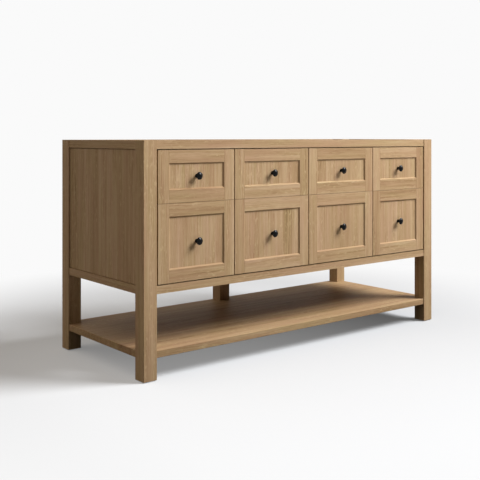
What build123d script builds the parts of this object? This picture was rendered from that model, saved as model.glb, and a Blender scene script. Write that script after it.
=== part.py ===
from build123d import *
import os

# Bathroom vanity cabinet: an oak frame on square legs, four columns of two drawers, an open shelf.
# Millimetres. +Z is up, the drawers face -Y and X runs along the front. The origin is on the floor,
# at the middle of the box round the whole cabinet, knobs included.

# Overall sizes
cabinet_width = 1524.0
cabinet_depth = 595.0
cabinet_height = 814.0

# Legs and the glides under them
leg_side = 54.0
leg_edge_chamfer = 1.5
glide_diameter = 36.0
glide_thickness = 3.0

# Rails, and how far they and the drawer fronts lie behind the faces of the legs
rail_setback = 3.0
front_setback = 2.0
top_rail_height = 30.0
bottom_rail_height = 27.5
bottom_rail_lift = 292.5
side_rail_thickness = 26.0
rear_rail_thickness = 20.0
rear_top_rail_height = 90.0
tenon_length = 24.0
tenon_thickness = 8.0
tenon_shoulder = 5.0

# Strip on the back of the front top rail, which closes the gap over the drawer fronts
stop_strip_thickness = 16.0
stop_strip_drop = 18.0

# Panels, housed in grooves of the legs and rails
groove_depth = 6.0
side_panel_setback = 6.0
side_panel_thickness = 12.0
side_panel_line_width = 3.0
side_panel_line_depth = 4.0
back_panel_thickness = 6.0
floor_thickness = 15.0
floor_drop = 6.0

# Openings in the back panel for the pipes, one behind each half of the cabinet, measured from the rails
pipe_opening_width = 320.0
pipe_opening_sill = 130.0
pipe_opening_head = 74.0

# Partitions, cut down at the back to leave room for the pipes
partition_thickness = 18.0
partition_top_drop = 14.0
partition_front_depth = 273.0
partition_rear_height = 116.0

# Open shelf
shelf_lift = 76.0
shelf_thickness = 25.0
shelf_edge_chamfer = 1.5

# Glue blocks in the top corners, with a hole for fixing the vanity top
corner_block_width = 44.0
corner_block_length = 60.0
top_fixing_hole_diameter = 5.5
block_screw_diameter = 4.5
block_screw_head_diameter = 9.0
block_screw_head_height = 3.0
block_screw_length = 56.0
block_screw_spacing = 36.0
screw_hole_clearance = 0.1

# Holes for fixing the rear top rail to the wall
wall_hole_diameter = 6.0
wall_hole_spacing = 812.8

# Drawer fronts: stiles and rails round a flat panel, with a bevel at the sight edge
divider_pitch = 372.0
reveal = 3.6
rail_reveal = 3.6
leg_reveal = 5.0
drawer_seam = 1.0
upper_front_height = 183.0
front_thickness = 20.0
front_edge_chamfer = 1.0
frame_member_width = 45.0
sight_bevel = 5.0
panel_recess = 5.0
panel_tongue = 8.0
panel_tongue_thickness = 6.0
stop_gap = 1.0

# Drawer boxes, whose walls end below the top of the front
upper_box_depth = 250.0
lower_box_depth = 400.0
upper_box_drop = 27.0
lower_box_drop = 48.0
box_lift = 16.0
box_wall = 12.0
box_bottom_thickness = 6.0
box_bottom_lift = 10.0
box_groove = 5.0

# Runners: a channel on the carcass and a smaller one on the drawer, nested in it
runner_width = 12.7
runner_height = 45.0
runner_gauge = 1.2
runner_clearance = 0.4
runner_setback = 2.0
runner_lift = 32.0
packer_margin = 8.0

# Knobs, each with its machine screw
knob_diameter = 28.0
knob_base_diameter = 14.0
knob_base_height = 2.0
knob_waist_diameter = 11.0
knob_stem_height = 9.0
knob_flare_height = 5.0
knob_rim_width = 3.0
knob_rim_round = 1.5
knob_dome_rise = 5.0
knob_screw_diameter = 4.0
knob_screw_head_diameter = 8.0
knob_screw_head_height = 2.5
knob_screw_grip = 11.0
knob_screw_clearance = 0.3

# Set-out lines worked out from the sizes above
half_width = cabinet_width / 2
knob_neck = knob_base_height + knob_stem_height
knob_rim = knob_neck + knob_flare_height
knob_projection = knob_rim + knob_rim_width + knob_dome_rise
knob_reach = knob_projection - panel_recess - front_setback
leg_front = (knob_reach - cabinet_depth) / 2
leg_back = leg_front + cabinet_depth
leg_inner = half_width - leg_side
front_leg_rear = leg_front + leg_side
rear_leg_front = leg_back - leg_side
face = leg_front + front_setback
front_rail_back = face + front_thickness + stop_gap
rear_rail_back = leg_back - rail_setback
rear_rail_front = rear_rail_back - rear_rail_thickness
side_rail_outer = half_width - rail_setback
side_rail_inner = side_rail_outer - side_rail_thickness
side_panel_outer = half_width - side_panel_setback
side_panel_inner = side_panel_outer - side_panel_thickness
bottom_rail_top = bottom_rail_lift + bottom_rail_height
top_rail_bottom = cabinet_height - top_rail_height
rear_top_rail_bottom = cabinet_height - rear_top_rail_height
floor_top = bottom_rail_top - floor_drop
fronts_bottom = bottom_rail_top + rail_reveal
fronts_top = top_rail_bottom - rail_reveal
seam_top = fronts_top - upper_front_height
seam_bottom = seam_top - drawer_seam
front_back = face + front_thickness
panel_face = face + panel_recess
box_front_inner = front_back + box_wall
runner_start = front_rail_back + runner_setback
partition_step = front_rail_back + partition_front_depth

# Each column is bounded by set-out lines and by the faces that carry its runners.
# name: left line, right line, left reveal, right reveal, left runner face, right runner face
half_reveal = reveal / 2
half_partition = partition_thickness / 2
columns = {
    "left_outer": (-leg_inner, -divider_pitch, leg_reveal, half_reveal, 0.0, half_partition),
    "left_inner": (-divider_pitch, 0.0, half_reveal, half_reveal, half_partition, half_partition),
    "right_inner": (0.0, divider_pitch, half_reveal, half_reveal, half_partition, half_partition),
    "right_outer": (divider_pitch, leg_inner, half_reveal, leg_reveal, half_partition, 0.0),
}
# name: bottom and top of the front, top and depth of the box
rows = {
    "upper": (seam_top, fronts_top, fronts_top - upper_box_drop, upper_box_depth),
    "lower": (fronts_bottom, seam_bottom, seam_bottom - lower_box_drop, lower_box_depth),
}


def block(x, y, z):
    """A board between two limits on each axis."""
    size = [limits[1] - limits[0] for limits in (x, y, z)]
    centre = [(limits[0] + limits[1]) / 2 for limits in (x, y, z)]
    return Pos(*centre) * Box(*size)


def prism_along_y(points, y):
    """A bar of the outline given as X, Z points, between two limits on Y."""
    outline = Polyline(*[(px, y[0], pz) for px, pz in points], close=True)
    return extrude(make_face(outline), amount=y[1] - y[0], dir=(0, 1, 0))


def cylinder_along_y(radius, x, z, y):
    """A round bar between two limits on Y."""
    return Pos(x, (y[0] + y[1]) / 2, z) * Rot(90, 0, 0) * Cylinder(radius, y[1] - y[0])


# Rails have a tenon at each end, which goes into the legs.
def rail_along_x(y, z):
    board = block((-leg_inner, leg_inner), y, z)
    middle = (y[0] + y[1]) / 2
    reach = leg_inner + tenon_length
    tenon_y = (middle - tenon_thickness / 2, middle + tenon_thickness / 2)
    tenon_z = (z[0] + tenon_shoulder, z[1] - tenon_shoulder)
    return board + block((-reach, reach), tenon_y, tenon_z)


def rail_along_y(side, z):
    x = sorted((side * side_rail_outer, side * side_rail_inner))
    board = block(x, (front_leg_rear, rear_leg_front), z)
    middle = (x[0] + x[1]) / 2
    tenon_x = (middle - tenon_thickness / 2, middle + tenon_thickness / 2)
    tenon_y = (front_leg_rear - tenon_length, rear_leg_front + tenon_length)
    tenon_z = (z[0] + tenon_shoulder, z[1] - tenon_shoulder)
    return board + block(tenon_x, tenon_y, tenon_z)


bottom_rail_z = (bottom_rail_lift, bottom_rail_top)
top_rail_z = (top_rail_bottom, cabinet_height)
front_rail_y = (face, front_rail_back)
rear_rail_y = (rear_rail_front, rear_rail_back)
rails = {
    "front_top_rail": rail_along_x(front_rail_y, top_rail_z),
    "front_bottom_rail": rail_along_x(front_rail_y, bottom_rail_z),
    "rear_top_rail": rail_along_x(rear_rail_y, (rear_top_rail_bottom, cabinet_height)),
    "rear_bottom_rail": rail_along_x(rear_rail_y, bottom_rail_z),
    "left_top_rail": rail_along_y(-1, top_rail_z),
    "left_bottom_rail": rail_along_y(-1, bottom_rail_z),
    "right_top_rail": rail_along_y(1, top_rail_z),
    "right_bottom_rail": rail_along_y(1, bottom_rail_z),
}
stop_strip_y = (front_rail_back, front_rail_back + stop_strip_thickness)
stop_strip_z = (top_rail_bottom - stop_strip_drop, cabinet_height)
stop_strip = block((-leg_inner, leg_inner), stop_strip_y, stop_strip_z)
rails["front_top_rail"] += stop_strip

# Side panels, back panel and cabinet floor, each let into grooves all round.
panel_y = (front_leg_rear - groove_depth, rear_leg_front + groove_depth)
panel_z = (bottom_rail_top - groove_depth, top_rail_bottom + groove_depth)
left_side_panel = block((-side_panel_outer, -side_panel_inner), panel_y, panel_z)
right_side_panel = block((side_panel_inner, side_panel_outer), panel_y, panel_z)

back_middle = (rear_rail_front + rear_rail_back) / 2
back_y = (back_middle - back_panel_thickness / 2, back_middle + back_panel_thickness / 2)
back_reach = leg_inner + groove_depth
back_z = (bottom_rail_top - groove_depth, rear_top_rail_bottom + groove_depth)
back_panel = block((-back_reach, back_reach), back_y, back_z)
pipe_opening_z = (bottom_rail_top + pipe_opening_sill, rear_top_rail_bottom - pipe_opening_head)
for side in (-1, 1):
    opening_middle = side * leg_inner / 2
    opening_x = (opening_middle - pipe_opening_width / 2, opening_middle + pipe_opening_width / 2)
    back_panel -= block(opening_x, rear_rail_y, pipe_opening_z)

floor_reach = side_rail_inner + groove_depth
floor_y = (front_rail_back - groove_depth, rear_rail_front + groove_depth)
cabinet_floor = block((-floor_reach, floor_reach), floor_y, (floor_top - floor_thickness, floor_top))

# Legs: the four at the corners run to the top, the one at the back stops under the bottom rail.
corner_leg_z = (glide_thickness, cabinet_height)
front_leg_y = (leg_front, front_leg_rear)
rear_leg_y = (rear_leg_front, leg_back)
left_leg_x = (-half_width, -leg_inner)
right_leg_x = (leg_inner, half_width)
centre_leg_x = (-leg_side / 2, leg_side / 2)
leg_blanks = {
    "front_leg_left": block(left_leg_x, front_leg_y, corner_leg_z),
    "front_leg_right": block(right_leg_x, front_leg_y, corner_leg_z),
    "rear_leg_left": block(left_leg_x, rear_leg_y, corner_leg_z),
    "rear_leg_right": block(right_leg_x, rear_leg_y, corner_leg_z),
    "rear_leg_centre": block(centre_leg_x, rear_leg_y, (glide_thickness, bottom_rail_lift)),
}

# The floor and the shelf are notched round the legs.
shelf_y = (leg_front + rail_setback, rear_rail_back)
shelf = block((-side_rail_outer, side_rail_outer), shelf_y, (shelf_lift, shelf_lift + shelf_thickness))
shelf_faces = shelf.faces().sort_by(Axis.Z)
shelf = chamfer(shelf_faces[0].edges() + shelf_faces[-1].edges(), shelf_edge_chamfer)
for leg_blank in leg_blanks.values():
    cabinet_floor -= leg_blank
    shelf -= leg_blank

# Grooves and mortises take the shapes of the panels and tenons.
side_panels = [left_side_panel, right_side_panel]
rails = {name: rail - [*side_panels, back_panel, cabinet_floor] for name, rail in rails.items()}
wall_hole_z = cabinet_height - rear_top_rail_height / 2
for hole_x in (-wall_hole_spacing / 2, wall_hole_spacing / 2):
    rails["rear_top_rail"] -= cylinder_along_y(wall_hole_diameter / 2, hole_x, wall_hole_z, rear_rail_y)
legs = {}
for name, leg_blank in leg_blanks.items():
    leg = chamfer(leg_blank.edges().filter_by(Axis.Z), leg_edge_chamfer)
    legs[name] = leg - [*rails.values(), *side_panels, back_panel]

# A shadow line runs round the outer face of each side panel, where it meets the rails and legs.
line_bottom = side_panel_outer - side_panel_line_depth
line_y = (front_leg_rear, rear_leg_front)
line_z = (bottom_rail_top, top_rail_bottom)
field_y = (line_y[0] + side_panel_line_width, line_y[1] - side_panel_line_width)
field_z = (line_z[0] + side_panel_line_width, line_z[1] - side_panel_line_width)
for side in (-1, 1):
    line_x = sorted((side * line_bottom, side * side_panel_outer))
    shadow_line = block(line_x, line_y, line_z) - block(line_x, field_y, field_z)
    if side < 0:
        left_side_panel -= shadow_line
    else:
        right_side_panel -= shadow_line

# Foot glides, one round disc under each leg.
foot_glides = []
for leg_blank in leg_blanks.values():
    middle = leg_blank.center()
    glide = Cylinder(glide_diameter / 2, glide_thickness)
    foot_glides.append(Pos(middle.X, middle.Y, glide_thickness / 2) * glide)


# Partitions stand on the floor between the columns, notched under the stop strip and cut down behind
# the upper drawers.
def partition(middle):
    x = (middle - half_partition, middle + half_partition)
    top = cabinet_height - partition_top_drop
    front = block(x, (front_rail_back, partition_step), (floor_top, top))
    rear = block(x, (front_rail_back, rear_rail_front), (floor_top, floor_top + partition_rear_height))
    return front + rear - stop_strip


partitions = {
    "partition_left": partition(-divider_pitch),
    "partition_centre": partition(0.0),
    "partition_right": partition(divider_pitch),
}


# Countersunk wood screw along X, with its head flush at head_x and its point towards side.
def block_screw(side, head_x, y, z, clearance):
    shank_radius = block_screw_diameter / 2 + clearance
    head_radius = block_screw_head_diameter / 2 + clearance
    length = block_screw_length + clearance
    shank = Pos(0, 0, length / 2) * Cylinder(shank_radius, length)
    head = Pos(0, 0, block_screw_head_height / 2) * Cone(head_radius, shank_radius, block_screw_head_height)
    return Pos(head_x, y, z) * Rot(0, side * 90, 0) * (shank + head)


# Corner blocks are screwed to the side rails behind the front legs and before the rear ones.
corner_blocks = []
corner_block_screws = []
block_z = (top_rail_bottom, cabinet_height)
block_mid_z = (top_rail_bottom + cabinet_height) / 2
for side, rail_name in ((-1, "left_top_rail"), (1, "right_top_rail")):
    block_face = side * (side_rail_inner - corner_block_width)
    block_mid_x = side * (side_rail_inner - corner_block_width / 2)
    for block_y in (
        (front_leg_rear, front_leg_rear + corner_block_length),
        (rear_leg_front - corner_block_length, rear_leg_front),
    ):
        block_mid_y = (block_y[0] + block_y[1]) / 2
        corner_block = block(sorted((block_face, side * side_rail_inner)), block_y, block_z)
        fixing_hole = Cylinder(top_fixing_hole_diameter / 2, top_rail_height)
        corner_block -= Pos(block_mid_x, block_mid_y, block_mid_z) * fixing_hole
        for step in (-1, 1):
            screw_y = block_mid_y + step * block_screw_spacing / 2
            screw_hole = block_screw(side, block_face, screw_y, block_mid_z, screw_hole_clearance)
            corner_block -= screw_hole
            rails[rail_name] -= screw_hole
            corner_block_screws.append(block_screw(side, block_face, screw_y, block_mid_z, 0.0))
        corner_blocks.append(corner_block)


# Drawer front: two stiles and two rails, mitred along the bevel, round a tongued panel.
def drawer_front(x, z):
    blank = block(x, (face, front_back), z)
    blank = chamfer(blank.faces().sort_by(Axis.Y)[0].edges(), front_edge_chamfer)
    arris_x = (x[0] + frame_member_width, x[1] - frame_member_width)
    arris_z = (z[0] + frame_member_width, z[1] - frame_member_width)
    sight_x = (arris_x[0] + sight_bevel, arris_x[1] - sight_bevel)
    sight_z = (arris_z[0] + sight_bevel, arris_z[1] - sight_bevel)

    panel = block(sight_x, (panel_face, front_back), sight_z)
    tongue_x = (sight_x[0] - panel_tongue, sight_x[1] + panel_tongue)
    tongue_z = (sight_z[0] - panel_tongue, sight_z[1] + panel_tongue)
    tongue_middle = (panel_face + front_back) / 2
    tongue_y = (tongue_middle - panel_tongue_thickness / 2, tongue_middle + panel_tongue_thickness / 2)
    panel += block(tongue_x, tongue_y, tongue_z)

    corners = ((0, 0), (1, 0), (1, 1), (0, 1))
    mouth = Polyline(*[(arris_x[i], face, arris_z[k]) for i, k in corners], close=True)
    throat = Polyline(*[(sight_x[i], panel_face, sight_z[k]) for i, k in corners], close=True)
    frame_blank = blank - loft([make_face(mouth), make_face(throat)], ruled=True) - panel

    members = []
    for side in (0, 1):
        stile = [
            (x[side], z[0]),
            (arris_x[side], z[0]),
            (arris_x[side], arris_z[0]),
            (sight_x[side], sight_z[0]),
            (sight_x[side], sight_z[1]),
            (arris_x[side], arris_z[1]),
            (arris_x[side], z[1]),
            (x[side], z[1]),
        ]
        rail = [
            (arris_x[0], z[side]),
            (arris_x[1], z[side]),
            (arris_x[1], arris_z[side]),
            (sight_x[1], sight_z[side]),
            (sight_x[0], sight_z[side]),
            (arris_x[0], arris_z[side]),
        ]
        for outline in (stile, rail):
            members.append(frame_blank & prism_along_y(outline, (face, front_back)))

    hole_radius = knob_screw_diameter / 2 + knob_screw_clearance
    panel -= cylinder_along_y(hole_radius, sum(x) / 2, sum(z) / 2, (panel_face, front_back))
    return [*members, panel]


# Drawer box: two sides, a front and a back between them, and a bottom in grooves all round.
def drawer_box(x, z, depth, knob_x, knob_z):
    y = (front_back, front_back + depth)
    inner_x = (x[0] + box_wall, x[1] - box_wall)
    inner_y = (y[0] + box_wall, y[1] - box_wall)
    bottom_x = (inner_x[0] - box_groove, inner_x[1] + box_groove)
    bottom_y = (inner_y[0] - box_groove, inner_y[1] + box_groove)
    bottom_z = (z[0] + box_bottom_lift, z[0] + box_bottom_lift + box_bottom_thickness)
    bottom = block(bottom_x, bottom_y, bottom_z)
    boards = [
        block((x[0], inner_x[0]), y, z),
        block((inner_x[1], x[1]), y, z),
        block(inner_x, (y[0], inner_y[0]), z),
        block(inner_x, (inner_y[1], y[1]), z),
    ]
    hole_radius = knob_screw_diameter / 2 + knob_screw_clearance
    sink_radius = knob_screw_head_diameter / 2 + knob_screw_clearance
    sink_y = (inner_y[0] - knob_screw_head_height, inner_y[0])
    screw_hole = cylinder_along_y(hole_radius, knob_x, knob_z, (y[0], inner_y[0]))
    screw_sink = cylinder_along_y(sink_radius, knob_x, knob_z, sink_y)
    return [*[board - [bottom, screw_hole, screw_sink] for board in boards], bottom]


# Runner channel along Y: a web at web_x and two flanges that point along the X direction given.
def runner_channel(web_x, direction, height, z, length):
    inner = web_x + direction * runner_gauge
    tip = web_x + direction * (runner_width - runner_gauge - runner_clearance)
    half = height / 2
    outline = [
        (web_x, z - half),
        (tip, z - half),
        (tip, z - half + runner_gauge),
        (inner, z - half + runner_gauge),
        (inner, z + half - runner_gauge),
        (tip, z + half - runner_gauge),
        (tip, z + half),
        (web_x, z + half),
    ]
    return prism_along_y(outline, (runner_start, runner_start + length))


# Turned metal knob: a small base, a waisted stem, and a round head with a rounded rim and a low dome.
def knob(x, z):
    base_radius = knob_base_diameter / 2
    head_radius = knob_diameter / 2
    dome_radius = head_radius - knob_rim_round
    dome_base = knob_rim + knob_rim_width
    apex = (0, -knob_projection)
    base_top = (base_radius, -knob_base_height)
    waist = (knob_waist_diameter / 2, -(knob_base_height + knob_neck) / 2)
    neck = (base_radius, -knob_neck)
    rim_back = (dome_radius, -knob_rim)
    rim_middle = (head_radius, -(knob_rim + dome_base) / 2)
    rim_front = (dome_radius, -dome_base)
    outline = Polyline(apex, (0, 0), (base_radius, 0), base_top)
    outline += ThreePointArc(base_top, waist, neck)
    outline += Line(neck, rim_back)
    outline += ThreePointArc(rim_back, rim_middle, rim_front)
    outline += TangentArc(apex, rim_front, tangent=(1, 0))
    turned = revolve(make_face(outline), Axis.Y)
    hole_radius = knob_screw_diameter / 2 + screw_hole_clearance
    tapped_hole = cylinder_along_y(hole_radius, 0, 0, (-knob_screw_grip, 0))
    return Pos(x, panel_face, z) * (turned - tapped_hole)


# Machine screw of the knob, driven from inside the drawer with its head sunk in the box front.
def knob_screw(x, z):
    head_seat = box_front_inner - knob_screw_head_height
    shank = cylinder_along_y(knob_screw_diameter / 2, x, z, (panel_face - knob_screw_grip, head_seat))
    head = cylinder_along_y(knob_screw_head_diameter / 2, x, z, (head_seat, box_front_inner))
    return shank + head


# Eight drawers, each a front, a box, a knob with its screw, and the moving half of its runners.
drawers = {}
carcass_runners = {"upper": [], "lower": []}
packers = []
drawer_runner_height = runner_height - 2 * (runner_gauge + runner_clearance)
for row, (front_bottom, front_top, box_top, box_depth) in rows.items():
    box_z = (front_bottom + box_lift, box_top)
    runner_z = box_z[0] + runner_lift
    runner_length = box_depth - stop_gap - runner_setback
    for column, (left, right, left_reveal, right_reveal, left_web, right_web) in columns.items():
        front_x = (left + left_reveal, right - right_reveal)
        carry_x = (left + left_web, right - right_web)
        box_x = (carry_x[0] + runner_width, carry_x[1] - runner_width)
        knob_x = sum(front_x) / 2
        knob_z = (front_bottom + front_top) / 2
        name = f"{row}_{column}"
        moving_runners = []
        for side, direction in ((0, 1), (1, -1)):
            fixed = runner_channel(carry_x[side], direction, runner_height, runner_z, runner_length)
            moving = runner_channel(box_x[side], -direction, drawer_runner_height, runner_z, runner_length)
            carcass_runners[row].append(fixed)
            moving_runners.append(moving)
        drawers[f"{name}_front"] = drawer_front(front_x, (front_bottom, front_top))
        drawers[f"{name}_box"] = drawer_box(box_x, box_z, box_depth, knob_x, knob_z)
        drawers[f"{name}_knob"] = [knob(knob_x, knob_z), knob_screw(knob_x, knob_z)]
        drawers[f"{name}_runners"] = moving_runners

    # Packers bring the side panels out to the inner faces of the legs for the outer runners.
    packer_z = (runner_z - runner_height / 2 - packer_margin, runner_z + runner_height / 2 + packer_margin)
    for packer_x in ((-side_panel_inner, -leg_inner), (leg_inner, side_panel_inner)):
        packers.append(block(packer_x, (front_leg_rear, rear_leg_front), packer_z))

nodes = {
    **legs,
    "foot_glides": foot_glides,
    **rails,
    "left_side_panel": left_side_panel,
    "right_side_panel": right_side_panel,
    "back_panel": back_panel,
    "cabinet_floor": cabinet_floor,
    **partitions,
    "shelf": shelf,
    "corner_blocks": corner_blocks,
    "corner_block_screws": corner_block_screws,
    "runner_packers": packers,
    "upper_carcass_runners": carcass_runners["upper"],
    "lower_carcass_runners": carcass_runners["lower"],
    **drawers,
}

os.makedirs("parts", exist_ok=True)
for name, pieces in nodes.items():
    shape = Compound(children=pieces) if isinstance(pieces, list) else pieces
    export_step(shape, f"parts/{name}.step")
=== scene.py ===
import math
import random

import bmesh
import bpy
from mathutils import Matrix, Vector


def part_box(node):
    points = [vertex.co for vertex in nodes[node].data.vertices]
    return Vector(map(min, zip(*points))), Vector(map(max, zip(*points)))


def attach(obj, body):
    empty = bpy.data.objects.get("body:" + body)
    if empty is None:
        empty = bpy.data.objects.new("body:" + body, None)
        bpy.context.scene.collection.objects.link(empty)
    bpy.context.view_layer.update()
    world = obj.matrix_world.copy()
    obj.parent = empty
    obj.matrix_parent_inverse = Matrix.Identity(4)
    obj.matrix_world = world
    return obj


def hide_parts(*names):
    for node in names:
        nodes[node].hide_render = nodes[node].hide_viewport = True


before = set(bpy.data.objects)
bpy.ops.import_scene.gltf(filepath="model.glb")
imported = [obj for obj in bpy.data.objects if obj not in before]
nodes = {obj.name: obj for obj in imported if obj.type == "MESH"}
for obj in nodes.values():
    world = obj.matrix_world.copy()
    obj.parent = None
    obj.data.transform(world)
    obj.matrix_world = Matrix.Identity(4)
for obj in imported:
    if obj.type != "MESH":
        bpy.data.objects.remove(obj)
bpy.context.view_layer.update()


# Legs: square posts of solid light oak, planed smooth, with their long arrises taken off. The four at
# the corners run from the floor to the top. The one at the middle of the back stops under the rail.
def linear(code):
    """An sRGB hex colour as linear red, green, blue and alpha."""
    channels = [int(code[i : i + 2], 16) / 255 for i in (1, 3, 5)]
    light = [c / 12.92 if c <= 0.04045 else ((c + 0.055) / 1.055) ** 2.4 for c in channels]
    return (*light, 1.0)


def add(tree, kind, inputs=None, stops=(), **settings):
    """Adds a node with its settings and links. An input takes a value or another node's output, and a
    colour ramp takes its stops, each a place and a colour."""
    node = tree.nodes.new(kind)
    for key, value in settings.items():
        setattr(node, key, value)
    for key, value in (inputs or {}).items():
        if isinstance(value, bpy.types.NodeSocket):
            tree.links.new(value, node.inputs[key])
        else:
            node.inputs[key].default_value = value
    for count, (place, code) in enumerate(stops):
        if count >= len(node.color_ramp.elements):
            node.color_ramp.elements.new(1.0)
        node.color_ramp.elements[count].position = place
        node.color_ramp.elements[count].color = linear(code)
    return node


def new_material(name):
    """A new material, with its tree and its surface."""
    material = bpy.data.materials.new(name)
    material.use_nodes = True
    return material, material.node_tree, material.node_tree.nodes["Principled BSDF"]


# Satin-lacquered white oak. The eye sees pale tan wood with thin darker growth rings that run along the
# board, long soft streaks, short pale ray flecks, and open pores. Real pores are 0.3 mm wide: they are
# drawn 1 mm wide to show. The "pith" of a board, or the heart given here, is the middle of the tree that
# it was sawn from. Boards glued up from strips have a new tree for each strip.
def oak(name, turn, strip_axis=None, strip_width=0.05, heart=(0.0, 0.0, 0.0), lightness=0.0):
    ring_width = 0.0065
    patch_width = 0.03
    broad_streak = 0.018
    fine_streak = 0.0035
    pore_width = 0.001
    fleck_width = 0.007
    warm_patch = 0.035
    strip_spread = (0.12, 0.12, 3.0)
    ring_stretch = (1, 1, 0.12)
    streak_stretch = (1, 1, 0.03)
    fleck_stretch = (1, 1, 0.35)
    plain_shade = 0.26
    broad_share = 0.44
    fine_share = 0.2
    board_share = 0.11
    pore_share = 0.2
    material, tree, surface = new_material(name)
    place = add(tree, "ShaderNodeTexCoord").outputs["Object"]
    place = add(tree, "ShaderNodeVectorMath", {0: place, 1: heart}, operation="SUBTRACT").outputs[0]
    pith = add(tree, "ShaderNodeAttribute", attribute_name="pith").outputs["Vector"]
    from_pith = add(tree, "ShaderNodeVectorMath", {0: place, 1: pith}, operation="SUBTRACT").outputs[0]
    grain = add(tree, "ShaderNodeMapping", {"Vector": from_pith, "Rotation": turn}).outputs[0]
    board_tone = add(tree, "ShaderNodeTexWhiteNoise", {"Vector": pith}).outputs["Value"]
    if strip_axis is not None:
        across = add(tree, "ShaderNodeSeparateXYZ", {0: grain}).outputs[strip_axis]
        strip_sizes = {"W": across, "Scale": 1 / strip_width, "Randomness": 0.8}
        strip = add(tree, "ShaderNodeTexVoronoi", strip_sizes, voronoi_dimensions="1D")
        middle = add(tree, "ShaderNodeCombineXYZ", {strip_axis: strip.outputs["W"]}).outputs[0]
        in_strip = add(tree, "ShaderNodeVectorMath", {0: grain, 1: middle}, operation="SUBTRACT").outputs[0]
        spread = {0: strip.outputs["Color"], 1: strip_spread, 2: in_strip}
        grain = add(tree, "ShaderNodeVectorMath", spread, operation="MULTIPLY_ADD").outputs[0]
        board_tone = add(tree, "ShaderNodeSeparateXYZ", {0: strip.outputs["Color"]}).outputs[2]

    long_grain = add(tree, "ShaderNodeMapping", {"Vector": grain, "Scale": ring_stretch}).outputs[0]
    ring_sizes = {"Vector": long_grain, "Scale": math.pi / (10 * ring_width), "Distortion": 9.0}
    ring_sizes.update({"Detail": 4.0, "Detail Scale": 0.9, "Detail Roughness": 0.62})
    rings = add(tree, "ShaderNodeTexWave", ring_sizes, wave_type="RINGS", rings_direction="Z").outputs["Fac"]
    streaks = add(tree, "ShaderNodeMapping", {"Vector": grain, "Scale": streak_stretch}).outputs[0]
    broad_sizes = {"Vector": streaks, "Scale": 1 / broad_streak, "Detail": 3.0, "Roughness": 0.55}
    broad = add(tree, "ShaderNodeTexNoise", broad_sizes).outputs["Fac"]
    fine_sizes = {"Vector": streaks, "Scale": 1 / fine_streak, "Detail": 2.0, "Roughness": 0.7}
    fine = add(tree, "ShaderNodeTexNoise", fine_sizes).outputs["Fac"]
    pore_sizes = {"Vector": streaks, "Scale": 1 / pore_width, "Detail": 0.0}
    pore_noise = add(tree, "ShaderNodeTexNoise", pore_sizes).outputs["Fac"]
    pore_range = {"Value": pore_noise, "From Min": 0.56, "From Max": 0.7}
    pores = add(tree, "ShaderNodeMapRange", pore_range).outputs[0]

    late_wood = add(tree, "ShaderNodeMath", {0: 1.0, 1: rings}, operation="SUBTRACT").outputs[0]
    late_wood = add(tree, "ShaderNodeMath", {0: late_wood, 1: 2.0}, operation="POWER").outputs[0]
    patch_sizes = {"Vector": long_grain, "Scale": 1 / patch_width, "Detail": 1.0}
    patch_noise = add(tree, "ShaderNodeTexNoise", patch_sizes).outputs["Fac"]
    patch = {"Value": patch_noise, "From Min": 0.35, "From Max": 0.7, "To Min": 0.0, "To Max": -0.16}
    patch = add(tree, "ShaderNodeMapRange", patch).outputs[0]
    shade = plain_shade + lightness
    shares = ((late_wood, patch), (broad, broad_share), (fine, fine_share), (board_tone, board_share))
    for part, share in shares:
        shade = {0: part, 1: share, 2: shade}
        shade = add(tree, "ShaderNodeMath", shade, operation="MULTIPLY_ADD").outputs[0]
    tans = ((0.36, "#826646"), (0.52, "#9B7F5E"), (0.64, "#A88C6B"), (0.8, "#B89F80"))
    colour = add(tree, "ShaderNodeValToRGB", {"Fac": shade}, stops=tans).outputs["Color"]
    pore_depth = add(tree, "ShaderNodeMath", {0: pores, 1: pore_share}, operation="MULTIPLY").outputs[0]
    pored = {0: pore_depth, 6: colour, 7: linear("#6E5132")}
    colour = add(tree, "ShaderNodeMix", pored, data_type="RGBA").outputs[2]
    short_grain = add(tree, "ShaderNodeMapping", {"Vector": grain, "Scale": fleck_stretch}).outputs[0]
    fleck_sizes = {"Vector": short_grain, "Scale": 1 / fleck_width, "Detail": 2.0}
    flecks = add(tree, "ShaderNodeTexNoise", fleck_sizes).outputs["Fac"]
    fleck_depth = {"Value": patch_noise, "From Min": 0.44, "From Max": 0.62, "To Max": 0.48}
    fleck_depth = add(tree, "ShaderNodeMapRange", fleck_depth).outputs[0]
    fleck_range = {"Value": flecks, "From Min": 0.55, "From Max": 0.7, "To Max": fleck_depth}
    flecks = add(tree, "ShaderNodeMapRange", fleck_range).outputs[0]
    flecked = {0: flecks, 6: colour, 7: linear("#C0A883")}
    colour = add(tree, "ShaderNodeMix", flecked, data_type="RGBA").outputs[2]
    warm_sizes = {"Vector": long_grain, "Scale": 1 / warm_patch, "Detail": 2.0}
    warm = add(tree, "ShaderNodeTexNoise", warm_sizes).outputs["Fac"]
    warm = {"Value": warm, "From Min": 0.3, "From Max": 0.7, "To Min": 0.492, "To Max": 0.508}
    warm = add(tree, "ShaderNodeMapRange", warm).outputs[0]
    colour = add(tree, "ShaderNodeHueSaturation", {"Hue": warm, "Color": colour}).outputs[0]
    tree.links.new(colour, surface.inputs["Base Color"])

    gloss = add(tree, "ShaderNodeMapRange", {"Value": fine, "To Min": 0.48, "To Max": 0.66}).outputs[0]
    tree.links.new(gloss, surface.inputs["Roughness"])
    relief = add(tree, "ShaderNodeMath", {0: fine, 1: pores}, operation="SUBTRACT").outputs[0]
    bump = add(tree, "ShaderNodeBump", {"Height": relief, "Strength": 0.25, "Distance": 0.0004})
    tree.links.new(bump.outputs[0], surface.inputs["Normal"])
    surface.inputs["IOR"].default_value = 1.5
    surface.inputs["Specular IOR Level"].default_value = 0.06
    return material


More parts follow.
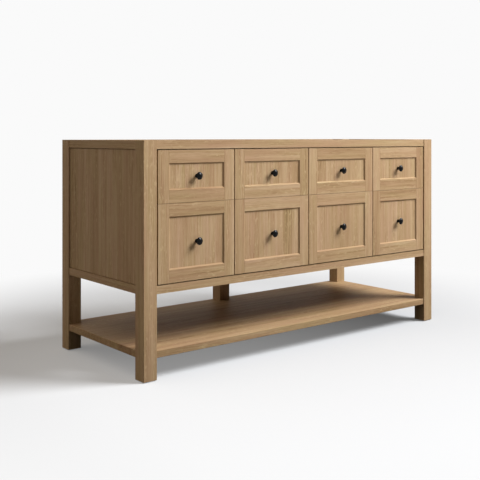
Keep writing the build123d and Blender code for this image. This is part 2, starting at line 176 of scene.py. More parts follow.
# Turns that bring the direction of the grain to the pattern's Z.
upright = (0.0, 0.0, 0.0)
along_x = (0.0, -math.pi / 2, 0.0)
along_y = (math.pi / 2, 0.0, 0.0)
oak_upright = oak("oak upright", upright)


def finish_nodes(names, material):
    """Gives kept nodes of the frame their finish."""
    for name in names:
        nodes[name].data.materials.clear()
        nodes[name].data.materials.append(material)


finish_nodes(
    ["front_leg_left", "front_leg_right", "rear_leg_left", "rear_leg_right", "rear_leg_centre"], oak_upright
)


# Rails: oak boards tenoned into the legs round the top and the bottom of the case, 2 mm behind the faces
# of the legs at the front and 3 mm at the sides. Their grain runs along them.
oak_along_x = oak("oak along the front", along_x)
oak_along_y = oak("oak along the sides", along_y)
finish_nodes(["front_top_rail", "front_bottom_rail", "rear_top_rail", "rear_bottom_rail"], oak_along_x)
finish_nodes(["left_top_rail", "right_top_rail", "left_bottom_rail", "right_bottom_rail"], oak_along_y)


# Side panels: flat oak panels glued up from upright strips about 70 mm wide, held in grooves of the
# legs and rails, with a fine shadow line cut round their face.
side_strip = 0.07
for side_panel in ("left_side_panel", "right_side_panel"):
    heart = tuple(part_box(side_panel)[0])
    side_strips = oak(
        f"oak strips of the {side_panel}", upright, strip_axis=1, strip_width=side_strip, heart=heart
    )
    finish_nodes([side_panel], side_strips)


# Back panel, case floor and partitions: birch plywood. The back is 6 mm with two openings for pipes, the
# floor 15 mm in grooves of the rails, and the partitions 18 mm, screwed down between the drawers.
# Lacquered birch plywood shows a pale, faintly watered veneer on its faces, and dark and light plies
# 1.4 mm thick along its cut edges.
def birch_ply(name, turn):
    ply = 0.0014
    water_width = 0.03
    water_stretch = (1, 0.12, 1)
    hair_width = 0.002
    hair_on_faces = 0.4
    hair_on_edges = 0.8
    material, tree, surface = new_material(name)
    coordinates = add(tree, "ShaderNodeTexCoord").outputs
    sheet = {"Vector": coordinates["Object"], "Rotation": turn}
    sheet = add(tree, "ShaderNodeMapping", sheet).outputs[0]
    facing = {"Vector": coordinates["Normal"], "Rotation": turn}
    facing = add(tree, "ShaderNodeMapping", facing, vector_type="VECTOR").outputs[0]
    square_on = add(tree, "ShaderNodeSeparateXYZ", {0: facing}).outputs[2]
    square_on = add(tree, "ShaderNodeMath", {0: square_on}, operation="ABSOLUTE").outputs[0]
    cut_edge = add(tree, "ShaderNodeMath", {0: square_on, 1: 0.5}, operation="LESS_THAN").outputs[0]

    flow = add(tree, "ShaderNodeMapping", {"Vector": sheet, "Scale": water_stretch}).outputs[0]
    water = {"Vector": flow, "Scale": 1 / water_width, "Detail": 4.0, "Roughness": 0.55, "Distortion": 0.6}
    water = add(tree, "ShaderNodeTexNoise", water).outputs["Fac"]
    hair = {"Vector": flow, "Scale": 1 / hair_width, "Detail": 2.0}
    hair = add(tree, "ShaderNodeTexNoise", hair).outputs["Fac"]
    veneer = {0: hair, 1: hair_on_faces, 2: water}
    veneer = add(tree, "ShaderNodeMath", veneer, operation="MULTIPLY_ADD").outputs[0]
    creams = ((0.45, "#B89A70"), (0.7, "#CBB088"), (0.95, "#D8C29C"))
    veneer = add(tree, "ShaderNodeValToRGB", {"Fac": veneer}, stops=creams).outputs["Color"]

    depth = add(tree, "ShaderNodeSeparateXYZ", {0: sheet}).outputs[2]
    layer = add(tree, "ShaderNodeMath", {0: depth, 1: math.pi / ply}, operation="MULTIPLY").outputs[0]
    layer = add(tree, "ShaderNodeMath", {0: layer}, operation="SINE").outputs[0]
    layer = {0: hair, 1: hair_on_edges, 2: layer}
    layer = add(tree, "ShaderNodeMath", layer, operation="MULTIPLY_ADD").outputs[0]
    browns = ((0.0, "#7C6040"), (0.35, "#A0825A"), (0.7, "#CDB48C"))
    plies = add(tree, "ShaderNodeValToRGB", {"Fac": layer}, stops=browns).outputs["Color"]
    colour = add(tree, "ShaderNodeMix", {0: cut_edge, 6: veneer, 7: plies}, data_type="RGBA").outputs[2]
    tree.links.new(colour, surface.inputs["Base Color"])
    gloss = add(tree, "ShaderNodeMapRange", {"Value": hair, "To Min": 0.45, "To Max": 0.65}).outputs[0]
    tree.links.new(gloss, surface.inputs["Roughness"])
    bump = add(tree, "ShaderNodeBump", {"Height": hair, "Strength": 0.15, "Distance": 0.0002})
    tree.links.new(bump.outputs[0], surface.inputs["Normal"])
    surface.inputs["Specular IOR Level"].default_value = 0.35
    return material


# Turns that bring the thickness of the sheet to the pattern's Z and its face grain to Y.
ply_across_x = birch_ply("birch plywood across X", along_x)
ply_across_y = birch_ply("birch plywood across Y", (math.pi / 2, 0.0, math.pi / 2))
ply_flat = birch_ply("birch plywood laid flat", (0.0, 0.0, math.pi / 2))
finish_nodes(["back_panel"], ply_across_y)
finish_nodes(["cabinet_floor"], ply_flat)
finish_nodes(["partition_left", "partition_centre", "partition_right"], ply_across_x)


# Open shelf: a 25 mm oak board glued up from strips along the front, notched round the five legs,
# which carry it. Its strips are 85 mm wide, and darker than the case: painted shade under the case.
shelf_strip = 0.085
shelf_painted_shade = -0.09
oak_shelf_strips = oak(
    "oak in strips along the front", along_x, strip_axis=1, strip_width=shelf_strip, lightness=shelf_painted_shade
)
finish_nodes(["shelf"], oak_shelf_strips)


# Corner blocks: four plywood blocks in the top corners that take the screws of the vanity top. Each is
# fixed to its side rail by two countersunk wood screws of bright zinc-plated steel.
finish_nodes(["corner_blocks"], ply_flat)

# Zinc-plated steel: a cool pale metal, a little cloudy.
cloud_width = 0.002
screw_zinc, screw_tree, screw_surface = new_material("zinc-plated screw steel")
screw_place = add(screw_tree, "ShaderNodeTexCoord").outputs["Object"]
cloud = {"Vector": screw_place, "Scale": 1 / cloud_width, "Detail": 2.0}
cloud = add(screw_tree, "ShaderNodeTexNoise", cloud).outputs["Fac"]
pale_greys = ((0.3, "#A9ABA9"), (0.7, "#CFCFCA"))
cloud_colour = add(screw_tree, "ShaderNodeValToRGB", {"Fac": cloud}, stops=pale_greys)
screw_tree.links.new(cloud_colour.outputs["Color"], screw_surface.inputs["Base Color"])
cloud_gloss = add(screw_tree, "ShaderNodeMapRange", {"Value": cloud, "To Min": 0.25, "To Max": 0.45})
screw_tree.links.new(cloud_gloss.outputs[0], screw_surface.inputs["Roughness"])
screw_surface.inputs["Metallic"].default_value = 1.0


def screw_nodes():
    """A tree that puts a cross-head screw on each point, with its head towards the point's axis. The arms
    of the cross are shares of the head's radius."""
    arm_length = 1.24
    arm_width = 0.3
    tree = bpy.data.node_groups.new("cross-head screws", "GeometryNodeTree")
    tree.interface.new_socket("Points", in_out="INPUT", socket_type="NodeSocketGeometry")
    for size in ("Head Radius", "Neck Radius", "Head Height", "Head Base", "Shank Radius", "Shank Length"):
        tree.interface.new_socket(size, in_out="INPUT", socket_type="NodeSocketFloat")
    tree.interface.new_socket("Steel", in_out="INPUT", socket_type="NodeSocketMaterial")
    tree.interface.new_socket("Screws", in_out="OUTPUT", socket_type="NodeSocketGeometry")
    sizes = add(tree, "NodeGroupInput").outputs

    cone = {"Vertices": 28, "Radius Top": sizes["Head Radius"], "Radius Bottom": sizes["Neck Radius"]}
    cone["Depth"] = sizes["Head Height"]
    head = add(tree, "GeometryNodeMeshCone", cone).outputs["Mesh"]
    sides = []
    for share in (arm_length, arm_width):
        side = {0: sizes["Head Radius"], 1: share}
        sides.append(add(tree, "ShaderNodeMath", side, operation="MULTIPLY").outputs[0])
    head_top = add(tree, "ShaderNodeCombineXYZ", {"Z": sizes["Head Height"]}).outputs[0]
    cut = add(tree, "GeometryNodeMeshBoolean", {"Mesh 1": head}, operation="DIFFERENCE", solver="EXACT")
    for x, y in (sides, sides[::-1]):
        arm = add(tree, "ShaderNodeCombineXYZ", {"X": x, "Y": y, "Z": sizes["Head Height"]}).outputs[0]
        arm = add(tree, "GeometryNodeMeshCube", {"Size": arm}).outputs["Mesh"]
        arm = add(tree, "GeometryNodeTransform", {"Geometry": arm, "Translation": head_top}).outputs[0]
        tree.links.new(arm, cut.inputs["Mesh 2"])
    shank = {"Vertices": 16, "Radius": sizes["Shank Radius"], "Depth": sizes["Shank Length"]}
    shank = add(tree, "GeometryNodeMeshCylinder", shank).outputs["Mesh"]
    sunk = add(tree, "ShaderNodeMath", {0: sizes["Shank Length"], 1: -0.5}, operation="MULTIPLY").outputs[0]
    screw = add(tree, "GeometryNodeJoinGeometry")
    for part, height in ((cut.outputs["Mesh"], sizes["Head Base"]), (shank, sunk)):
        height = add(tree, "ShaderNodeCombineXYZ", {"Z": height}).outputs[0]
        part = add(tree, "GeometryNodeTransform", {"Geometry": part, "Translation": height}).outputs[0]
        tree.links.new(part, screw.inputs[0])
    axis = {"Name": "axis"}
    axis = add(tree, "GeometryNodeInputNamedAttribute", axis, data_type="FLOAT_VECTOR").outputs[0]
    turn = add(tree, "FunctionNodeAlignRotationToVector", {"Vector": axis}, axis="Z").outputs[0]
    places = {"Points": sizes["Points"], "Instance": screw.outputs[0], "Rotation": turn}
    set_out = add(tree, "GeometryNodeInstanceOnPoints", places).outputs[0]
    solid = add(tree, "GeometryNodeRealizeInstances", {"Geometry": set_out}).outputs[0]
    coloured = {"Geometry": solid, "Material": sizes["Steel"]}
    coloured = add(tree, "GeometryNodeSetMaterial", coloured).outputs[0]
    add(tree, "NodeGroupOutput", {"Screws": coloured})
    return tree


def placed(name, data):
    """A new object of the scene."""
    item = bpy.data.objects.new(name, data)
    bpy.context.scene.collection.objects.link(item)
    return item


def grown(name, points, axes, tree, sizes):
    """The mesh that a tree grows on the points, as a plain object."""
    seedbed = bpy.data.meshes.new(name + "_points")
    seedbed.from_pydata(points, [], [])
    directions = seedbed.attributes.new("axis", "FLOAT_VECTOR", "POINT")
    for place, axis in zip(directions.data, axes):
        place.vector = axis
    holder = placed(name + "_points", seedbed)
    modifier = holder.modifiers.new("grown", "NODES")
    modifier.node_group = tree
    for socket in tree.interface.items_tree:
        if socket.in_out == "INPUT" and socket.name in sizes:
            modifier[socket.identifier] = sizes[socket.name]
    holder.update_tag()
    bpy.context.view_layer.update()
    evaluated = holder.evaluated_get(bpy.context.evaluated_depsgraph_get())
    mesh = bpy.data.meshes.new_from_object(evaluated)
    bpy.data.objects.remove(holder)
    mesh.name = name
    return placed(name, mesh)


cross_head = screw_nodes()
blocks_low, blocks_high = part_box("corner_blocks")
screws_low, screws_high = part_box("corner_block_screws")
block_length = 0.060
head_inset = 0.044
screw_spacing = 0.036
block_screw_points = []
block_screw_axes = []
for side, head_x in ((-1, blocks_low.x + head_inset), (1, blocks_high.x - head_inset)):
    for middle_y in (blocks_low.y + block_length / 2, blocks_high.y - block_length / 2):
        for step in (-0.5, 0.5):
            screw_y = middle_y + step * screw_spacing
            block_screw_points.append((head_x, screw_y, (screws_low.z + screws_high.z) / 2))
            block_screw_axes.append((-side, 0.0, 0.0))
block_screw_sizes = {
    "Head Radius": 0.0045,
    "Neck Radius": 0.00225,
    "Head Height": 0.003,
    "Head Base": -0.003,
    "Shank Radius": 0.00225,
    "Shank Length": 0.055,
    "Steel": screw_zinc,
}
block_screws = grown("block_screws", block_screw_points, block_screw_axes, cross_head, block_screw_sizes)
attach(block_screws, "carcass")
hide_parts("corner_block_screws")


# Runners: folded steel channels, one on the case and a smaller one on the drawer, nested in it. The
# outer ones stand on plywood packers that fill the depth of the legs.
finish_nodes(["runner_packers"], ply_across_x)

# Cold-rolled galvanised steel: a bluish grey metal with faint cloudy spangle and rolling lines along Y.
spangle_width = 0.009
spangle_share = 0.4
rolling_line = 0.0012
rolling_stretch = (1, 0.02, 1)
runner_zinc, zinc_tree, zinc_surface = new_material("galvanised runner steel")
zinc_place = add(zinc_tree, "ShaderNodeTexCoord").outputs["Object"]
spangle = add(zinc_tree, "ShaderNodeTexVoronoi", {"Vector": zinc_place, "Scale": 1 / spangle_width})
rolled = add(zinc_tree, "ShaderNodeMapping", {"Vector": zinc_place, "Scale": rolling_stretch}).outputs[0]
rolled = add(zinc_tree, "ShaderNodeTexNoise", {"Vector": rolled, "Scale": 1 / rolling_line}).outputs["Fac"]
zinc_shade = {0: spangle.outputs["Color"], 1: spangle_share, 2: rolled}
zinc_shade = add(zinc_tree, "ShaderNodeMath", zinc_shade, operation="MULTIPLY_ADD").outputs[0]
blue_greys = ((0.4, "#8E9296"), (0.9, "#B9BDC0"))
zinc_colour = add(zinc_tree, "ShaderNodeValToRGB", {"Fac": zinc_shade}, stops=blue_greys)
zinc_tree.links.new(zinc_colour.outputs["Color"], zinc_surface.inputs["Base Color"])
zinc_gloss = add(zinc_tree, "ShaderNodeMapRange", {"Value": zinc_shade, "To Min": 0.3, "To Max": 0.45})
zinc_tree.links.new(zinc_gloss.outputs[0], zinc_surface.inputs["Roughness"])
zinc_surface.inputs["Metallic"].default_value = 1.0
finish_nodes(["upper_carcass_runners", "lower_carcass_runners"], runner_zinc)


# Drawer fronts: two oak stiles and two oak rails, mitred along the bevel at their sight edge, round a
# flat panel of upright strips set 5 mm back. Every arris is eased, so the joints show as fine lines.
# The outer edges are darker: painted shade that stands for the shade in the narrow gaps between fronts.
panel_strip = 0.045
gap_shade_darker = -0.2
oak_panel_strips = oak("oak panel in upright strips", upright, strip_axis=0, strip_width=panel_strip)
oak_upright_edges_gap_shaded = oak("oak with painted gap shade on upright edges", upright, lightness=gap_shade_darker)
oak_level_edges_gap_shaded = oak("oak with painted gap shade on level edges", along_x, lightness=gap_shade_darker)
front_finishes = (oak_upright, oak_along_x, oak_panel_strips, oak_upright_edges_gap_shaded, oak_level_edges_gap_shaded)
on_stile, on_rail, on_panel, on_gap_shaded_upright_edge, on_gap_shaded_level_edge = range(len(front_finishes))
edge_reach = 1e-5
member_width = 0.045
sight_bevel = 0.005
panel_recess = 0.005
panel_tuck = 0.004
arris_ease = 0.0006
# How far the pith lies beside and behind a board, and at most along it.
stile_pith = ((0.05, 0.1), (0.0, 0.05))
rail_pith = ((0.0, 0.02), (0.02, 0.05))
panel_pith = ((0.0, 0.3), (0.0, 0.04))
pith_along = 2.0
chance = random.Random(11)


def tree_middle(middle, along, beside, behind):
    """The pith of the tree that a board was sawn from: how far it lies beside and behind the board."""
    offset = Vector((0, chance.uniform(*behind), 0))
    offset += Vector(along) * chance.uniform(-pith_along, pith_along)
    offset += Vector((along[2], 0, along[0])) * chance.uniform(*beside) * chance.choice((-1, 1))
    return middle + offset


def finish_faces(new_faces, finish, pith, pith_layer):
    """Gives the faces of one board their finish and tree."""
    for board_face in new_faces:
        board_face.material_index = finish
        board_face[pith_layer] = pith


def frame_member(shape, outline, depths, finish, pith, pith_layer):
    """A stile or rail: outline is a ring of X, Z points, where a point with an arris falls to the bevel."""
    digits = 7
    front, recess, back = depths
    corners = {}

    def corner(x, y, z):
        place = (round(x, digits), round(y, digits), round(z, digits))
        if place not in corners:
            corners[place] = shape.verts.new((x, y, z))
        return corners[place]

    count = len(outline)
    rear = [corner(x, back, z) for (x, z), _ in outline]
    middle = [corner(x, recess, z) for (x, z), _ in outline]
    ahead = [corner(*((arris or point)[0], front, (arris or point)[1])) for point, arris in outline]
    loops = [rear]
    loops.append(list(dict.fromkeys(ahead))[::-1])
    for i in range(count):
        j = (i + 1) % count
        loops.append([rear[j], rear[i], middle[i], middle[j]])
        loops.append(list(dict.fromkeys([middle[j], middle[i], ahead[i], ahead[j]])))
    faces = [shape.faces.new(loop) for loop in loops]
    finish_faces(faces, finish, pith, pith_layer)


def board(shape, low, high, finish, pith, pith_layer):
    """A straight board between two corners."""
    made = bmesh.ops.create_cube(shape, size=1.0)["verts"]
    for vertex in made:
        for axis in range(3):
            vertex.co[axis] = low[axis] if vertex.co[axis] < 0 else high[axis]
    faces = {face for vertex in made for face in vertex.link_faces}
    finish_faces(faces, finish, pith, pith_layer)


def joined(name, shape, finishes, ease):
    """Closes the shape as one object with eased arrises."""
    bmesh.ops.recalc_face_normals(shape, faces=shape.faces)
    mesh = bpy.data.meshes.new(name)
    shape.to_mesh(mesh)
    shape.free()
    for finish in finishes:
        mesh.materials.append(finish)
    piece = placed(name, mesh)
    eased = piece.modifiers.new("eased arrises", "BEVEL")
    eased.width = ease
    eased.segments = 2
    eased.limit_method = "ANGLE"
    eased.angle_limit = math.radians(30)
    eased.harden_normals = False
    return piece


drawers = [
    f"{row}_{column}"
    for row in ("upper", "lower")
    for column in ("left_outer", "left_inner", "right_inner", "right_outer")
]
for drawer in drawers:
    low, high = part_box(f"{drawer}_front")
    arris_x = (low.x + member_width, high.x - member_width)
    arris_z = (low.z + member_width, high.z - member_width)
    sight_x = (arris_x[0] + sight_bevel, arris_x[1] - sight_bevel)
    sight_z = (arris_z[0] + sight_bevel, arris_z[1] - sight_bevel)
    depths = (low.y, low.y + panel_recess, high.y)
    shape = bmesh.new()
    pith_layer = shape.faces.layers.float_vector.new("pith")
    middle = (low + high) / 2
    for side, edge_x in ((0, low.x), (1, high.x)):
        ax, sx = arris_x[side], sight_x[side]
        outline = [((edge_x, low.z), None), ((ax, low.z), None), ((ax, arris_z[0]), None)]
        outline += [((sx, sight_z[0]), (ax, arris_z[0])), ((sx, sight_z[1]), (ax, arris_z[1]))]
        outline += [((ax, arris_z[1]), None), ((ax, high.z), None), ((edge_x, high.z), None)]
        pith = tree_middle(Vector(((edge_x + ax) / 2, middle.y, middle.z)), (0, 0, 1), *stile_pith)
        frame_member(shape, outline, depths, on_stile, pith, pith_layer)
    for side, edge_z in ((0, low.z), (1, high.z)):
        az, sz = arris_z[side], sight_z[side]
        outline = [((arris_x[0], edge_z), None), ((arris_x[1], edge_z), None), ((arris_x[1], az), None)]
        outline += [((sight_x[1], sz), (arris_x[1], az)), ((sight_x[0], sz), (arris_x[0], az))]
        outline += [((arris_x[0], az), None)]
        pith = tree_middle(Vector((middle.x, middle.y, (edge_z + az) / 2)), (1, 0, 0), *rail_pith)
        frame_member(shape, outline, depths, on_rail, pith, pith_layer)
    panel_low = Vector((sight_x[0] - panel_tuck, depths[1], sight_z[0] - panel_tuck))
    panel_high = Vector((sight_x[1] + panel_tuck, high.y, sight_z[1] + panel_tuck))
    pith = tree_middle(middle, (0, 0, 1), *panel_pith)
    board(shape, panel_low, panel_high, on_panel, pith, pith_layer)
    # Painted shade: the outer edge faces take the darker oak, for the shade in the gaps between fronts.
    for front_face in shape.faces:
        centre = front_face.calc_center_median()
        if min(abs(centre.x - low.x), abs(centre.x - high.x)) < edge_reach:
            front_face.material_index = on_gap_shaded_upright_edge
        elif min(abs(centre.z - low.z), abs(centre.z - high.z)) < edge_reach:
            front_face.material_index = on_gap_shaded_level_edge
    front = joined(f"{drawer}_framed_front", shape, front_finishes, arris_ease)
    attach(front, f"{drawer}_drawer")
    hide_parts(f"{drawer}_front")


# Drawer boxes: 12 mm birch plywood sides, front and back, glued and pinned, with a 6 mm bottom held in
# grooves 10 mm above their lower edge. The edges are sanded round.
box_wall = 0.012
bottom_lift = 0.010
bottom_thickness = 0.006
bottom_tuck = 0.005
box_ease = 0.001
box_finishes = (ply_across_x, ply_across_y, ply_flat)
on_side, on_end, on_bottom = range(len(box_finishes))
no_pith = Vector((0, 0, 0))
for drawer in drawers:
    low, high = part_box(f"{drawer}_box")
    inner_low = low + Vector((box_wall, box_wall, 0))
    inner_high = high - Vector((box_wall, box_wall, 0))
    shape = bmesh.new()
    pith_layer = shape.faces.layers.float_vector.new("pith")
    walls = (
        ((low.x, low.y), (inner_low.x, high.y), on_side),
        ((inner_high.x, low.y), (high.x, high.y), on_side),
        ((inner_low.x, low.y), (inner_high.x, inner_low.y), on_end),
        ((inner_low.x, inner_high.y), (inner_high.x, high.y), on_end),
    )
    for (x0, y0), (x1, y1), finish in walls:
        board(shape, (x0, y0, low.z), (x1, y1, high.z), finish, no_pith, pith_layer)
    tuck = Vector((bottom_tuck, bottom_tuck, 0))
    bottom_low = inner_low - tuck + Vector((0, 0, bottom_lift))
    bottom_high = Vector((*(inner_high + tuck).xy, bottom_low.z + bottom_thickness))
    board(shape, bottom_low, bottom_high, on_bottom, no_pith, pith_layer)
    box = joined(f"{drawer}_plywood_box", shape, box_finishes, box_ease)
    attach(box, f"{drawer}_drawer")
    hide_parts(f"{drawer}_box")
    finish_nodes([f"{drawer}_runners"], runner_zinc)


# Runner screws: small pan-head screws of zinc-plated steel that fix each channel through its web, two
# along the short runners of the upper drawers and four along the long ones.
pan_sizes = {
    "Head Radius": 0.0035,
    "Neck Radius": 0.0038,
    "Head Height": 0.0018,
    "Head Base": 0.0,
    "Shank Radius": 0.0015,
    "Shank Length": 0.008,
    "Steel": screw_zinc,
}
runner_width = 0.0127
runner_gauge = 0.0012
screw_inset = 0.035
screw_pitch = 0.096


def runner_screw_rows(low, high, faces_in):
    """Points and axes of the screws in a pair of channels, in the webs at low.x and high.x."""
    points = []
    axes = []
    middle_z = (low.z + high.z) / 2
    count = int((high.y - low.y - 2 * screw_inset) / screw_pitch) + 1
    for web_x, towards in ((low.x, 1), (high.x, -1)):
        towards *= faces_in
        for step in range(count):
            screw_y = low.y + screw_inset + step * screw_pitch
            points.append((web_x + towards * runner_gauge, screw_y, middle_z))
            axes.append((towards, 0.0, 0.0))
    return points, axes


case_points = []
case_axes = []
for drawer in drawers:
    low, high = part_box(f"{drawer}_runners")
    box_low, box_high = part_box(f"{drawer}_box")
    web_low = Vector((box_low.x, low.y, low.z))
    web_high = Vector((box_high.x, high.y, high.z))
    points, axes = runner_screw_rows(web_low, web_high, -1)
    screws = grown(f"{drawer}_runner_screws", points, axes, cross_head, pan_sizes)
    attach(screws, f"{drawer}_drawer")
    case_low = web_low - Vector((runner_width, 0, 0))
    case_high = web_high + Vector((runner_width, 0, 0))
    points, axes = runner_screw_rows(case_low, case_high, 1)
    case_points += points
    case_axes += axes
case_screws = grown("case_runner_screws", case_points, case_axes, cross_head, pan_sizes)
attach(case_screws, "carcass")


# Knobs: turned brass or steel with a baked black finish, each held by a machine screw from inside the
# drawer. A small foot, a waisted stem and a round head with a low dome.
# Baked black enamel on metal: near black and smooth, with a small clear highlight and a faint fine grain.
grit_width = 0.0012
black_enamel, enamel_tree, enamel_surface = new_material("baked black enamel")
enamel_place = add(enamel_tree, "ShaderNodeTexCoord").outputs["Object"]
grit = {"Vector": enamel_place, "Scale": 1 / grit_width, "Detail": 2.0}
grit = add(enamel_tree, "ShaderNodeTexNoise", grit).outputs["Fac"]
near_blacks = ((0.3, "#040404"), (0.75, "#0A0909"))
enamel_colour = add(enamel_tree, "ShaderNodeValToRGB", {"Fac": grit}, stops=near_blacks)
enamel_tree.links.new(enamel_colour.outputs["Color"], enamel_surface.inputs["Base Color"])
enamel_gloss = add(enamel_tree, "ShaderNodeMapRange", {"Value": grit, "To Min": 0.12, "To Max": 0.22})
enamel_tree.links.new(enamel_gloss.outputs[0], enamel_surface.inputs["Roughness"])
enamel_bump = add(enamel_tree, "ShaderNodeBump", {"Height": grit, "Strength": 0.08, "Distance": 0.0002})
enamel_tree.links.new(enamel_bump.outputs[0], enamel_surface.inputs["Normal"])
enamel_surface.inputs["Specular IOR Level"].default_value = 0.11

# Half section of the knob, from the foot to the tip: radius and height over the panel, in millimetres.
knob_section = [(0, 0), (6.6, 0), (7, 0.3), (7, 1.6), (6.7, 2.0), (6.1, 2.5), (5.7, 4.0), (5.5, 6.5)]
knob_section += [(5.7, 7.9), (6.2, 9.6), (7.2, 11.2), (9.4, 13.2), (11.6, 15.0), (12.7, 16.0)]
knob_section += [(13.5, 16.6), (14, 17.5), (13.5, 18.4), (12.7, 19.0), (11.6, 20.0), (9.6, 21.4)]
knob_section += [(7.2, 22.6), (4.4, 23.5), (2.0, 23.9), (0, 24.0)]
turning_steps = 64
knob_screw_sizes = {
    "Head Radius": 0.0037,
    "Neck Radius": 0.004,
    "Head Height": 0.0022,
    "Head Base": -0.0012,
    "Shank Radius": 0.002,
    "Shank Length": 0.010,
    "Steel": screw_zinc,
}
for drawer in drawers:
    low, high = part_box(f"{drawer}_knob")
    middle = (low + high) / 2
    foot_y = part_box(f"{drawer}_front")[0].y + panel_recess
    shape = bmesh.new()
    rings = []
    for radius, height in knob_section:
        if radius == 0:
            rings.append([shape.verts.new((middle.x, foot_y - height / 1000, middle.z))])
            continue
        ring = []
        for step in range(turning_steps):
            turn = 2 * math.pi * step / turning_steps
            x = middle.x + radius / 1000 * math.cos(turn)
            z = middle.z + radius / 1000 * math.sin(turn)
            ring.append(shape.verts.new((x, foot_y - height / 1000, z)))
        rings.append(ring)
    for lower, upper in zip(rings, rings[1:]):
        for step in range(turning_steps):
            after = (step + 1) % turning_steps
            loop = [lower[step % len(lower)], lower[after % len(lower)]]
            loop += [upper[after % len(upper)], upper[step % len(upper)]]
            shape.faces.new(list(dict.fromkeys(loop)))
    bmesh.ops.recalc_face_normals(shape, faces=shape.faces)
    mesh = bpy.data.meshes.new(f"{drawer}_turned_knob")
    shape.to_mesh(mesh)
    shape.free()
    mesh.materials.append(black_enamel)
    mesh.shade_smooth()
    knob = placed(mesh.name, mesh)
    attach(knob, f"{drawer}_drawer")
    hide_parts(f"{drawer}_knob")
    screw_point = [(middle.x, high.y, middle.z)]
    screw = grown(f"{drawer}_knob_screw", screw_point, [(0.0, 1.0, 0.0)], cross_head, knob_screw_sizes)
    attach(screw, f"{drawer}_drawer")


# Glides: a round disc of dark nylon under each leg, 36 mm across and 3 mm thick, a little narrower at the
# floor. Moulded nylon is a dull near-black brown, slightly mottled.
mottle_width = 0.004
glide_nylon, nylon_tree, nylon_surface = new_material("moulded nylon")
nylon_place = add(nylon_tree, "ShaderNodeTexCoord").outputs["Object"]
mottle = {"Vector": nylon_place, "Scale": 1 / mottle_width}
mottle = add(nylon_tree, "ShaderNodeTexNoise", mottle).outputs["Fac"]
dark_browns = ((0.3, "#221C17"), (0.7, "#302923"))
nylon_colour = add(nylon_tree, "ShaderNodeValToRGB", {"Fac": mottle}, stops=dark_browns)
nylon_tree.links.new(nylon_colour.outputs["Color"], nylon_surface.inputs["Base Color"])
nylon_gloss = add(nylon_tree, "ShaderNodeMapRange", {"Value": mottle, "To Min": 0.5, "To Max": 0.7})
nylon_tree.links.new(nylon_gloss.outputs[0], nylon_surface.inputs["Roughness"])

glide_tree = bpy.data.node_groups.new("round glides", "GeometryNodeTree")
glide_tree.interface.new_socket("Points", in_out="INPUT", socket_type="NodeSocketGeometry")
for size in ("Radius", "Thickness", "Taper"):
    glide_tree.interface.new_socket(size, in_out="INPUT", socket_type="NodeSocketFloat")
glide_tree.interface.new_socket("Plastic", in_out="INPUT", socket_type="NodeSocketMaterial")
glide_tree.interface.new_socket("Glides", in_out="OUTPUT", socket_type="NodeSocketGeometry")
glide_sizes = add(glide_tree, "NodeGroupInput").outputs
sole = {0: glide_sizes["Radius"], 1: glide_sizes["Taper"]}
sole = add(glide_tree, "ShaderNodeMath", sole, operation="SUBTRACT").outputs[0]
disc = {"Vertices": 48, "Side Segments": 1, "Radius Top": glide_sizes["Radius"]}
disc.update({"Radius Bottom": sole, "Depth": glide_sizes["Thickness"]})
disc = add(glide_tree, "GeometryNodeMeshCone", disc).outputs["Mesh"]
set_out = {"Points": glide_sizes["Points"], "Instance": disc}
set_out = add(glide_tree, "GeometryNodeInstanceOnPoints", set_out).outputs[0]
set_out = add(glide_tree, "GeometryNodeRealizeInstances", {"Geometry": set_out}).outputs[0]
set_out = {"Geometry": set_out, "Material": glide_sizes["Plastic"]}
set_out = add(glide_tree, "GeometryNodeSetMaterial", set_out).outputs[0]
add(glide_tree, "NodeGroupOutput", {"Glides": set_out})

glide_points = []
for leg in ("front_leg_left", "front_leg_right", "rear_leg_left", "rear_leg_right", "rear_leg_centre"):
    low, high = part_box(leg)
    glide_points.append(((low.x + high.x) / 2, (low.y + high.y) / 2, 0.0))
glide_axes = [(0.0, 0.0, 1.0)] * len(glide_points)
nylon_sizes = {"Radius": 0.018, "Thickness": 0.003, "Taper": 0.001, "Plastic": glide_nylon}
glides = grown("nylon_glides", glide_points, glide_axes, glide_tree, nylon_sizes)
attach(glides, "carcass")
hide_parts("foot_glides")


# Studio floor: plain pale paper that keeps the shadow of the cabinet and fades to white far away. It is
# a little greyer towards the lamp, so that the lit floor is seen evenly white. A white glow, seen only by
# the camera, is painted into it near the cabinet, most at the front left: painted light that lightens the
# cabinet's shadow there. It throws light back from the front only, where nothing shades it.
floor_radius = 40.0
shadow_glow_spot = (-0.5, -0.45, 0.0)


def seen_straight(tree):
    """1 for the rays of the camera, of mirrors and of glass, and 0 for the light that falls on things."""
    rays = add(tree, "ShaderNodeLightPath").outputs
    seen = rays["Is Camera Ray"]
    for kind in ("Is Glossy Ray", "Is Transmission Ray"):
        seen = add(tree, "ShaderNodeMath", {0: seen, 1: rays[kind]}, operation="MAXIMUM").outputs[0]
    return seen


paper, paper_tree, paper_surface = new_material("white studio paper")
paper_surface.inputs["Roughness"].default_value = 0.9
paper_surface.inputs["Specular IOR Level"].default_value = 0.0
paper_place = add(paper_tree, "ShaderNodeTexCoord").outputs["Object"]
reach = add(paper_tree, "ShaderNodeVectorMath", {0: paper_place}, operation="LENGTH").outputs["Value"]
across, along, _ = add(paper_tree, "ShaderNodeSeparateXYZ", {0: paper_place}).outputs
near_left = {0: paper_place, 1: shadow_glow_spot}
near_left = add(paper_tree, "ShaderNodeVectorMath", near_left, operation="DISTANCE").outputs["Value"]
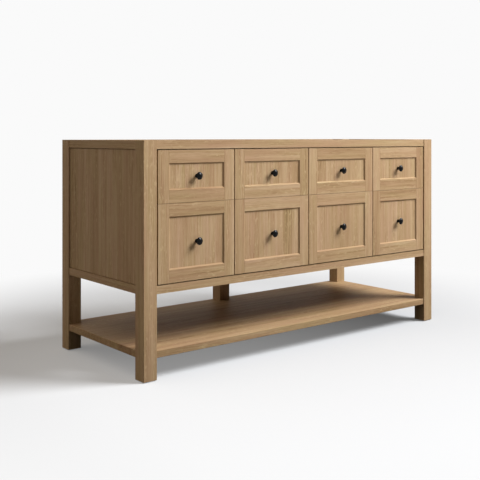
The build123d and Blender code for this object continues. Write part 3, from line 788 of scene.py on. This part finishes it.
# Painted light: the share of white glow that lightens the floor's shadow, most near the front left.
shadow_glow_lift = {"Value": near_left, "From Min": 0.1, "From Max": 1.3, "To Min": 0.31, "To Max": 0.095}
shadow_glow_lift = add(paper_tree, "ShaderNodeMapRange", shadow_glow_lift).outputs[0]
fade = {"Value": reach, "From Min": 1.1, "From Max": 2.05, "To Min": shadow_glow_lift}
fade = add(paper_tree, "ShaderNodeMapRange", fade, interpolation_type="SMOOTHSTEP").outputs[0]
seen = seen_straight(paper_tree)
fade = add(paper_tree, "ShaderNodeMath", {0: fade, 1: seen}, operation="MULTIPLY").outputs[0]
paper_greys = {"Value": across, "From Min": 0.9, "From Max": -1.0}
paper_greys = add(paper_tree, "ShaderNodeMapRange", paper_greys).outputs[0]
paper_greys = {0: paper_greys, 6: linear("#B6B8BB"), 7: linear("#D3D6DA")}
paper_greys = add(paper_tree, "ShaderNodeMix", paper_greys, data_type="RGBA").outputs[2]
bounce = {"Value": along, "From Min": -0.9, "From Max": -1.5}
bounce = add(paper_tree, "ShaderNodeMapRange", bounce).outputs[0]
bounce = {0: bounce, 6: linear("#302F2E"), 7: linear("#C8C7C6")}
bounce = add(paper_tree, "ShaderNodeMix", bounce, data_type="RGBA").outputs[2]
paper_colour = {0: seen, 6: bounce, 7: paper_greys}
paper_colour = add(paper_tree, "ShaderNodeMix", paper_colour, data_type="RGBA").outputs[2]
paper_tree.links.new(paper_colour, paper_surface.inputs["Base Color"])
white = add(paper_tree, "ShaderNodeEmission", {"Color": linear("#FAFAFA"), "Strength": 1.0})
paper_mix = {0: fade, 1: paper_surface.outputs[0], 2: white.outputs[0]}
paper_mix = add(paper_tree, "ShaderNodeMixShader", paper_mix)
paper_tree.links.new(paper_mix.outputs[0], paper_tree.nodes["Material Output"].inputs["Surface"])
floor_shape = bmesh.new()
bmesh.ops.create_circle(floor_shape, cap_ends=True, segments=96, radius=floor_radius)
floor_mesh = bpy.data.meshes.new("studio_floor")
floor_shape.to_mesh(floor_mesh)
floor_shape.free()
floor_mesh.materials.append(paper)
studio_floor = placed("studio_floor", floor_mesh)


# Light: one large soft lamp at the front right and above, and a dim room round it, brighter at the left
# and above, that is white where it is seen.
key_aim = Vector((0.0, -0.1, 0.45))
key_towards = Vector((0.571, -0.489, 0.659))
key_distance = 7.5
brightest_side = (-0.6, 0.3, 0.74)
key_lamp = bpy.data.lights.new("soft key", "AREA")
key_lamp.shape = "DISK"
key_lamp.size = 4.0
key_lamp.energy = 1115.0
key = placed("soft key", key_lamp)
key.location = key_aim + key_distance * key_towards
key.rotation_euler = (-key_towards).to_track_quat("-Z", "Y").to_euler()

room = bpy.data.worlds.new("studio")
room.use_nodes = True
bpy.context.scene.world = room
room_tree = room.node_tree
room_seen = seen_straight(room_tree)
dim = room_tree.nodes["Background"]
dim.inputs["Color"].default_value = linear("#FFF2E2")
room_side = add(room_tree, "ShaderNodeTexCoord").outputs["Generated"]
room_side = {0: room_side, 1: brightest_side}
room_side = add(room_tree, "ShaderNodeVectorMath", room_side, operation="DOT_PRODUCT").outputs["Value"]
room_side = {"Value": room_side, "From Min": 0.3, "From Max": 1.0, "To Min": 0.0, "To Max": 0.885}
room_side = add(room_tree, "ShaderNodeMapRange", room_side).outputs[0]
room_tree.links.new(room_side, dim.inputs["Strength"])
bright = add(room_tree, "ShaderNodeBackground", {"Color": linear("#FAFAFA"), "Strength": 1.0})
room_mix = add(room_tree, "ShaderNodeMixShader", {0: room_seen, 1: dim.outputs[0], 2: bright.outputs[0]})
room_tree.links.new(room_mix.outputs[0], room_tree.nodes["World Output"].inputs["Surface"])


# Camera: level, a little over the height of the top, off the front left corner, with its frame shifted
# down so that upright lines stay upright.
lens = bpy.data.cameras.new("camera")
lens.lens = 61.03
lens.sensor_width = 36.0
lens.sensor_fit = "HORIZONTAL"
lens.shift_y = -0.2151
camera = placed("camera", lens)
camera.location = (-2.2150, -2.6082, 0.8257)
camera.rotation_euler = (math.radians(90), 0.0, math.radians(-38.83))
bpy.context.scene.camera = camera
bpy.context.scene.view_settings.view_transform = "Standard"
